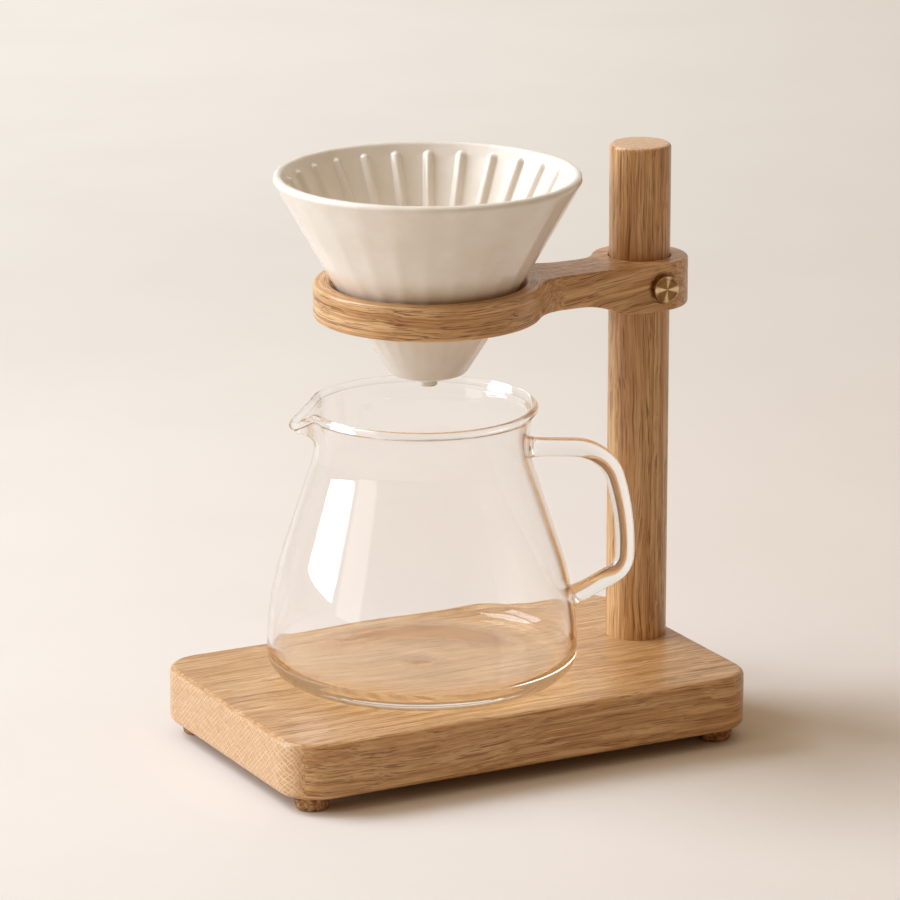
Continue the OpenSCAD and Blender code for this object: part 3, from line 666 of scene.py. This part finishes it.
def outer_radius(height):
    """The body's outer radius at a height, below the lip."""
    side = carafe_side(0, HEEL)
    for (r0, z0), (r1, z1) in zip(side, side[1:]):
        if z0 <= height <= z1 and z1 > z0:
            return r0 + (r1 - r0) * (height - z0) / (z1 - z0)
    return side[0][0]


def carafe_axis():
    """Where the carafe's axis meets the board: the belly touches the node's box on two sides."""
    low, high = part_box("carafe_body")
    return Vector((high.x - BELLY_R * MM, high.y - BELLY_R * MM, low.z))


def add_carafe(material):
    # The mesh has a line at every degree round the spout, and at every third one elsewhere
    turns = [-28 + i for i in range(56)] + [28 + 304 * i / 100 for i in range(100)]
    rows = [[carafe_point(r, z, t) for t in turns] if r > 0 else [Vector((0, 0, z))]
            for r, z in carafe_profile()]
    points, faces = skin(rows)
    place = Matrix.Translation(carafe_axis()) @ Matrix.Rotation(CARAFE_TURN, 4, "Z")
    add_piece("carafe_glass", points, faces, place, material, "carafe", "carafe_body",
              GLASS_SHARP)
    points, faces = handle_skin()
    add_piece("carafe_handle_glass", points, faces, place, material, "carafe",
              "carafe_handle", GLASS_SHARP)


def handle_path():
    """The rod's middle line in its own plane, from neck to belly, as points and headings."""
    place, heading = Vector((NECK_R - FUSED, HANDLE_Z)), 0.0
    path = [(place.copy(), heading)]

    def go(length):
        place.x += length * math.cos(heading)
        place.y += length * math.sin(heading)

    steps = 10
    length = (HANDLE_STRAIGHT - place.x) / steps
    for _ in range(steps):
        go(length)
        path.append((place.copy(), heading))
    for radius, angle, steps in HANDLE_BENDS:
        step = math.radians(angle) / steps
        for _ in range(steps):
            heading -= step / 2
            go(2 * radius * math.sin(step / 2))
            heading -= step / 2
            path.append((place.copy(), heading))
    while place.x > outer_radius(place.y) - FUSED:
        go(0.8)
        path.append((place.copy(), heading))
    return path


def handle_skin():
    """Points and faces of the rod, with its ends melted on to the wall."""
    path = handle_path()
    lengths = [0.0]
    for (a, _), (b, _) in zip(path, path[1:]):
        lengths.append(lengths[-1] + (b - a).length)
    rows = []
    for (at, heading), far in zip(path, lengths):
        near = min(far, lengths[-1] - far)
        radius = ROD_R + ROD_FLARE * math.exp(-near / ROD_FLARE_RUN)
        ahead = Vector((math.cos(heading), 0, math.sin(heading)))
        up = Vector((-ahead.z, 0, ahead.x))
        row = []
        for k in range(ROD_SIDES):
            a = 2 * math.pi * k / ROD_SIDES
            out = math.cos(a) * up + math.sin(a) * Vector((0, 1, 0))
            p = Vector((at.x, 0, at.y)) + radius * out
            if near < FUSED_END:
                # The rod's end follows the wall that it is melted on to
                sink = outer_radius(p.z) - FUSED - Vector((p.x, p.y)).length
                sink *= math.exp(-near / FUSED_RUN)
                half = FUSED_END / 2
                p.x += sink if near < half else sink * (FUSED_END - near) / half
            row.append(p)
        rows.append(row)
    first, last = (sum(r, Vector()) / ROD_SIDES for r in (rows[0], rows[-1]))
    return skin([[first]] + rows + [[last]])


# ---------------------------------------------------------------- dripper

CONE = 29.5  # degrees from upright
WALL, RIM_R, DRIPPER_H = 3.6, 58.98, 84.0
# The foot of the cone, its rounding, the floor's thickness, the drip hole, the nozzle's tip and
# radius, and the radius of the roundings at the nozzle's tip and root
FOOT_Z, FOOT_R, DRIPPER_FLOOR, HOLE_R, TIP_Z, NOZZLE_R = 5.4, 3.6, 3.4, 2.0, 0.6, 3.7
TIP_EDGE, ROOT_EDGE = 0.9, 0.8
WAIST_Z, WAIST_PULL = 40.0, 0.0012  # below this height the cone draws in a little more
TAN, COS, SIN = (f(math.radians(CONE)) for f in (math.tan, math.cos, math.sin))
CONE_TOP_R = RIM_R - WALL / 2 + WALL / 2 * COS
CONE_TOP_Z = DRIPPER_H - WALL / 2 - WALL / 2 * SIN

RIBS, RIB_HALF, RIB_H = 26, 2.2, 1.8  # how many, half of a rib's width, and its height
RIB_TOP, RIB_RUNOUT = 3.2, 2.0  # how far below the rim the ribs end, and how softly
RIB_END_R, RIB_FADE = 17.5, 3  # the radius at which they end below, and how softly
RIB_END_SHARE = 0.12  # the share of the inside that has a finer mesh, for the ribs' upper ends
# Offsets, in millimetres from a rib's middle, of the mesh's lines along it, and the largest share
# of the way to the next rib that they may take up
RIB_LINES = (-2.5, -2.1, -1.7, -1.3, -0.9, -0.45, 0, 0.45, 0.9, 1.3, 1.7, 2.1, 2.5)
RIB_ROOM = 0.46
# Faint flutes outside, between the ribs: their depth, and the two heights where they end
FLUTE, FLUTE_LOW, FLUTE_HIGH = 0.16, 12, DRIPPER_H - 6
DRIPPER_SHARP = 75  # degrees


def cone_radius(height):
    """The outer radius at a height, without the waist."""
    return CONE_TOP_R - (CONE_TOP_Z - height) * TAN


def drawn_in(points):
    """Points of the cone's section, drawn in below the waist."""
    return [(r - WAIST_PULL * max(WAIST_Z - z, 0) ** 2, z) for r, z in points]


def rib_height(radius, height, offset):
    """How far the inner side is raised at an offset from the nearest rib's middle."""
    down = (DRIPPER_H - RIB_TOP - height) / COS
    up = (radius - RIB_END_R) / SIN
    if down <= 0 or up <= 0:
        return 0
    end = min(down / RIB_HALF, 1)
    half = RIB_HALF * math.sqrt(1 - (1 - end) ** 2)
    across = math.cos(min(abs(offset) / half, 1) * math.pi / 2) ** 1.1
    return RIB_H * across * smooth(0.3 + down / RIB_RUNOUT) * smooth(up / RIB_FADE)


def dripper_profile():
    """The closed section, in three parts: from the drip hole out, up and over the rim, then down
    the ribbed inside, then the floor and the hole."""
    inner_r = DRIPPER_FLOOR - 0.2
    foot_mid, floor_mid = FOOT_Z + FOOT_R, FOOT_Z + DRIPPER_FLOOR + inner_r
    outer_foot_x = cone_radius(foot_mid) - FOOT_R / COS
    outer_foot = arc(outer_foot_x, foot_mid, FOOT_R, -90, -CONE, steps=8)
    rim = arc(RIM_R - WALL / 2, DRIPPER_H - WALL / 2, WALL / 2, -CONE, 180 - CONE, steps=12)
    inner_foot_x = cone_radius(floor_mid) - (WALL + inner_r) / COS
    inner_foot = arc(inner_foot_x, floor_mid, inner_r, -CONE, -90, steps=7)
    nozzle = [(HOLE_R + 0.2, TIP_Z)]
    nozzle += arc(NOZZLE_R - TIP_EDGE, TIP_Z + TIP_EDGE, TIP_EDGE, -90, 0, steps=6)
    nozzle += [(NOZZLE_R, FOOT_Z - 1.2)]
    nozzle += arc(NOZZLE_R + ROOT_EDGE, FOOT_Z - ROOT_EDGE, ROOT_EDGE, 180, 90, steps=4)
    hole_top = FOOT_Z + DRIPPER_FLOOR
    hole = [(HOLE_R + 0.15, hole_top), (HOLE_R, hole_top - 0.2), (HOLE_R, 4.0),
            (HOLE_R, TIP_Z + 0.2)]
    near_top = tuple(a + (b - a) * RIB_END_SHARE for a, b in zip(rim[-1], inner_foot[0]))
    inside = line(rim[-1], near_top, steps=22)[1:-1]
    inside += line(near_top, inner_foot[0], steps=40)[:-1]
    outer = outer_foot + line(outer_foot[-1], rim[0], steps=30)[1:-1] + rim
    return nozzle + drawn_in(outer), drawn_in(inside), drawn_in(inner_foot) + hole


def add_dripper(material):
    outside, inside, floor = dripper_profile()
    first_rib = math.pi / RIBS
    rows = []
    for i, (r, z) in enumerate(outside + inside + floor):
        ribbed = len(outside) <= i < len(outside) + len(inside)
        reach = min(1, RIB_ROOM * 2 * math.pi * r / RIBS / RIB_LINES[-1])
        row = []
        for rib in range(RIBS):
            for offset in RIB_LINES:
                offset *= reach
                turn = 2 * math.pi * rib / RIBS + first_rib + offset / max(r, 1)
                x, height = r, z
                if ribbed:
                    raised = rib_height(r, z, offset)
                    x, height = r - raised * COS, z + raised * SIN
                elif i < len(outside) and FLUTE_LOW < z < FLUTE_HIGH:
                    fade = smooth((z - FLUTE_LOW) / 10) * smooth((FLUTE_HIGH - z) / 12)
                    x += FLUTE * fade * math.cos(RIBS * (turn - first_rib)) - FLUTE / 2 * fade
                row.append(Vector((x * math.cos(turn), x * math.sin(turn), height)))
        rows.append(row)
    points, faces = skin(rows, closed=True)
    place = Matrix.Translation(middle("dripper"))
    add_piece("dripper_cone", points, faces, place, material, "cone", "dripper",
              DRIPPER_SHARP)


# ---------------------------------------------------------------- arm

# Distance of the ring's middle from the post's axis, and radius and thickness of ring and hub
REACH = 93.0
RING_R, RING_T = 44.0, 13.5
HUB_R, HUB_T = 19.0, 19.0
NECK_BACK = 4.5  # the neck's straight rear side, behind the post's axis
# Radii of the hollow blends beside the ring and the hub, and length of the slope under the neck
RING_BLEND, HUB_BLEND, STEP_RUN = 20.0, 12.0, 26.0
ARM_EDGE, EDGE_STEPS = 1.2, 6  # the rounding of the outer edges
# The mesh: rows down the side, spacing round the outline and on the underside, and the distance
# at which two points are one
SIDE_STEPS, OUTLINE_STEP, UNDERSIDE_STEP, SAME_PLACE = 8, 1.5, 3, 0.05
ARM_SHARP = 50  # degrees
INSIDE_ONLY = 1  # Blender's number for triangles within the outlines, and none around them

# The dripper's seat: the cone's height at the arm's top, and the seat's radii there and at the
# ring's underside, each with a gap round the cone
SEAT_CONE_Z = 42.0
SEAT_TOP_R = cone_radius(SEAT_CONE_Z) + 1.3
SEAT_LOW_R = cone_radius(SEAT_CONE_Z - RING_T) + 0.3 / COS
SEAT_EDGE, SEAT_EDGE_OUT, SEAT_SIDES = 0.95, 0.85, 120
BORE_R, BORE_SIDES = 12.3, 72
BORE_EDGE = ((0.8, 0), (0.35, 0), (0.1, 0.12), (0, 0.4))  # out from the bore, and along it

# The flat that is sunk for the knob, and the bore for the bush behind it
SPOT_R, SPOT_DEPTH, SPOT_AHEAD = 6.2, 1.0, 3.0
BUSH_R, BUSH_DEPTH, BUSH_OVERLAP = 4.3, 7.0, 0.5


def arm_outline():
    """The arm's outline from above, as points with outward normals, anticlockwise, with the post's
    axis at the origin. Every change of curve is tangent."""
    ring = Vector((-REACH, 0))

    def blend_run(round_r, side_y, radius):
        """How far the middle of a hollow blend is from that of the round part beside it, along X.
        The blend's other end meets a straight side that is side_y from the axis."""
        return math.sqrt((round_r + radius) ** 2 - (side_y + radius) ** 2)

    # Middles of the hollow blends
    front = Vector((ring.x + blend_run(RING_R, HUB_R, RING_BLEND), -HUB_R - RING_BLEND))
    back = Vector((ring.x + blend_run(RING_R, NECK_BACK, RING_BLEND), NECK_BACK + RING_BLEND))
    hub = Vector((-blend_run(HUB_R, NECK_BACK, HUB_BLEND), NECK_BACK + HUB_BLEND))
    points = []

    def bearing(v):
        return math.degrees(math.atan2(v.y, v.x))

    def round_part(center, radius, start, end, inward=False):
        steps = max(3, round(abs(end - start) * math.pi / 180 * radius / OUTLINE_STEP))
        for x, y in arc(center.x, center.y, radius, start, end, steps):
            normal = (Vector((x, y)) - center).normalized()
            points.append((Vector((x, y)), -normal if inward else normal))

    def straight(start, end, normal):
        steps = max(2, round(abs(end[0] - start[0]) / OUTLINE_STEP))
        for x, y in line(start, end, steps)[1:-1]:
            points.append((Vector((x, y)), Vector(normal)))

    hub_meet, ring_back, ring_front = bearing(hub), bearing(back - ring), bearing(front - ring)
    round_part(Vector((0, 0)), HUB_R, -90, hub_meet)
    round_part(hub, HUB_BLEND, hub_meet - 180, -90, inward=True)
    straight((hub.x, NECK_BACK), (back.x, NECK_BACK), (0, 1))
    round_part(back, RING_BLEND, -90, ring_back - 180, inward=True)
    round_part(ring, RING_R, ring_back, 360 + ring_front)
    round_part(front, RING_BLEND, ring_front + 180, 90, inward=True)
    straight((front.x, -HUB_R), (0, -HUB_R), (0, -1))

    kept = [points[0]]
    for p in points[1:]:
        if (p[0] - kept[-1][0]).length > SAME_PLACE:
            kept.append(p)
    return kept if (kept[-1][0] - kept[0][0]).length > SAME_PLACE else kept[:-1]


def topside(x):
    """Height of the arm's flat upper side."""
    return 0


def underside(x):
    """Height of the arm's underside, from its top at 0: a slope of two arcs under the neck."""
    drop = HUB_T - RING_T
    curve = (STEP_RUN ** 2 + drop ** 2) / (4 * drop)
    start, end = -HUB_R / 2 - STEP_RUN, -HUB_R / 2
    if x <= start:
        return -RING_T
    if x >= end:
        return -HUB_T
    if x < (start + end) / 2:
        return -RING_T - curve + math.sqrt(curve ** 2 - (x - start) ** 2)
    return -HUB_T + curve - math.sqrt(curve ** 2 - (end - x) ** 2)


def arm_side():
    """Rows of points round the arm, from the upper side over both rounded edges to the lower."""
    outline = arm_outline()

    def loop(inset, height):
        return [(*(p - n * inset), height(p.x)) for p, n in outline]

    def edge(step):
        """How far a row of a rounded edge stands in from the side, and from the flat face."""
        a = math.pi / 2 * step / EDGE_STEPS
        return ARM_EDGE * (1 - math.sin(a)), ARM_EDGE * (1 - math.cos(a))

    # A loop just inside each face's first one keeps the faces flat up to the rounding
    rows = [loop(ARM_EDGE + 0.4, topside)]
    for inset, down in map(edge, range(EDGE_STEPS + 1)):
        rows.append(loop(inset, lambda x: -down))
    for i in range(1, SIDE_STEPS):
        rows.append(loop(0, lambda x: -ARM_EDGE + (underside(x) + 2 * ARM_EDGE) * i / SIDE_STEPS))
    for inset, up in map(edge, range(EDGE_STEPS, -1, -1)):
        rows.append(loop(inset, lambda x: underside(x) + up))
    return rows + [loop(ARM_EDGE + 0.4, underside)]


def seat_profile():
    """The seat for the dripper from above, with softened edges."""
    top, low, out = SEAT_TOP_R, SEAT_LOW_R, SEAT_TOP_R + SEAT_EDGE_OUT
    slope = (top - low) / RING_T
    seat = [(top + 1.3, 0), (out, 0)]
    seat += [(out - SEAT_EDGE * math.sin(a), -SEAT_EDGE * (1 - math.cos(a)))
             for a in (0.4, 0.8, 1.2)]
    seat += [(top - slope * down, -down) for down in (1.4, 4, 9)]
    return seat + [(low + slope * 0.8, -RING_T + 0.8), (low + 0.25, -RING_T + 0.2),
                   (low + 0.7, -RING_T), (low + 1.2, -RING_T)]


def bore_profile():
    """The post's bore from above, with softened edges."""
    upper = [(BORE_R + out, -down) for out, down in BORE_EDGE]
    lower = [(BORE_R + out, -HUB_T + up) for out, up in BORE_EDGE[::-1]]
    return upper + [(BORE_R, -6), (BORE_R, -13)] + lower


def cap(loops, holes, level, spacing):
    """Points and faces of a face between an outline and its round holes, with inner points every
    spacing so that it can follow a curved level. level gives the height at a place."""
    flat = [Vector(p) for loop in loops for p in loop]
    rings, start = [], 0
    for loop in loops:
        rings.append(list(range(start, start + len(loop))))
        start += len(loop)
    if spacing:
        xs, ys = [p.x for p in flat], [p.y for p in flat]
        for i in range(int((max(xs) - min(xs)) / spacing)):
            for j in range(int((max(ys) - min(ys)) / spacing)):
                spot = Vector((min(xs) + (i + 0.5) * spacing, min(ys) + (j + 0.5) * spacing))
                if min((spot - p).length for p in flat) > 0.7 * spacing:
                    flat.append(spot)
    places, _, faces, *_ = delaunay_2d_cdt(flat, [], rings, INSIDE_ONLY, 0.001)

    def solid(face):
        at = sum((places[i] for i in face), Vector((0, 0))) / len(face)
        return all((at - Vector((x, 0))).length > radius for x, radius in holes)

    return [(p.x, p.y, level(p.x)) for p in places], [list(f) for f in faces if solid(f)]


def add_arm(material):
    rows = arm_side()
    rounds = ((-REACH, seat_profile(), SEAT_SIDES), (0, bore_profile(), BORE_SIDES))
    skins = [skin(rows)]
    for x, profile, sides in rounds:
        skins.append(skin([[(*p, z) for p in circle(x, 0, r, sides)] for r, z in profile]))
    for end, level, spacing in ((0, topside, 0), (-1, underside, UNDERSIDE_STEP)):
        holes = [(x, profile[end][0]) for x, profile, _ in rounds]
        loops = [[p[:2] for p in rows[end]]]
        loops += [circle(x, 0, profile[end][0], sides) for x, profile, sides in rounds]
        skins.append(cap(loops, holes, level, spacing))
    points, faces = [], []
    for more, more_faces in skins:
        faces += [[len(points) + i for i in face] for face in more_faces]
        points += more

    place = Matrix.Translation(arm_origin())
    arm = add_piece("arm_oak", points, faces, place, material, "arm_set", "arm", ARM_SHARP)
    bush_front = -HUB_R + SPOT_DEPTH - BUSH_OVERLAP
    for sizes in ((-HUB_R, SPOT_R, SPOT_DEPTH, SPOT_AHEAD), (bush_front, BUSH_R, BUSH_DEPTH, 0)):
        bore_out(arm, screw_axis(), *(size * MM for size in sizes))


def arm_origin():
    """Where the post's axis meets the level of the arm's top."""
    low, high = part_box("post")
    return Vector(((low.x + high.x) / 2, (low.y + high.y) / 2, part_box("arm")[1].z))


def screw_axis():
    """Where the thumb screw's axis crosses the post's, from the box of its knob."""
    low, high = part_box("thumb_screw")
    origin = arm_origin()
    return Vector((origin.x, origin.y, (low.z + high.z) / 2))


def bore_out(piece, at, front, radius, depth, ahead):
    """Cuts a round bore along Y into a piece, from ahead of its front to a depth behind it."""
    cutter = bpy.data.meshes.new("bore")
    shape = bmesh.new()
    halfway = Matrix.Translation(at + Vector((0, front + (depth - ahead) / 2, 0)))
    place = halfway @ Matrix.Rotation(math.pi / 2, 4, "X")
    bmesh.ops.create_cone(shape, cap_ends=True, segments=64, radius1=radius, radius2=radius,
                          depth=depth + ahead, matrix=place)
    shape.to_mesh(cutter)
    shape.free()
    tool = add_object("bore", cutter)
    cut = piece.modifiers.new("bore", "BOOLEAN")
    cut.operation, cut.solver, cut.object = "DIFFERENCE", "EXACT", tool
    bpy.context.view_layer.update()
    result = piece.evaluated_get(bpy.context.evaluated_depsgraph_get())
    made = bpy.data.meshes.new_from_object(result)
    piece.modifiers.clear()
    piece.data = made
    bpy.data.objects.remove(tool)


# ---------------------------------------------------------------- dressing


def dress(material, *nodes):
    """Gives a material to CAD nodes that are shown as they are."""
    for node in nodes:
        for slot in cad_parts[node].material_slots:
            slot.material = material


add_camera()
add_stage()
add_light()

ring_middle = middle("dripper") / MM
board_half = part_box("base_board")[1].y / MM
dress(oak("oak_board", "x", (22, -70), side_mm=board_half), "base_board")
add_arm(oak("oak_arm", "x", (40, 120), seed=300, contrast=1.2,
            ring_mm=(ring_middle.x, ring_middle.y, RING_R)))
dress(oak("oak_post", "z", (120, 30), seed=700, contrast=1.2, year_mm=1.9), "post")
dress(cork(), "foot_front_left", "foot_front_right", "foot_rear_left", "foot_rear_right")
knob_low, knob_high = (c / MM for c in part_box("thumb_screw"))
knob_middle = ((knob_low.x + knob_high.x) / 2, (knob_low.z + knob_high.z) / 2)
# The knob's turned brass: its spun face has painted shade and a painted highlight
dress(brass("brass_turned_painted_light", spun_mm=knob_middle), "thumb_screw")
dress(brass("brass_plain"), "arm_bush", "clamp_pad", "post_sleeve")
dress(steel(), "post_bolt", "post_washer")
add_dripper(glaze())
add_carafe(glass())
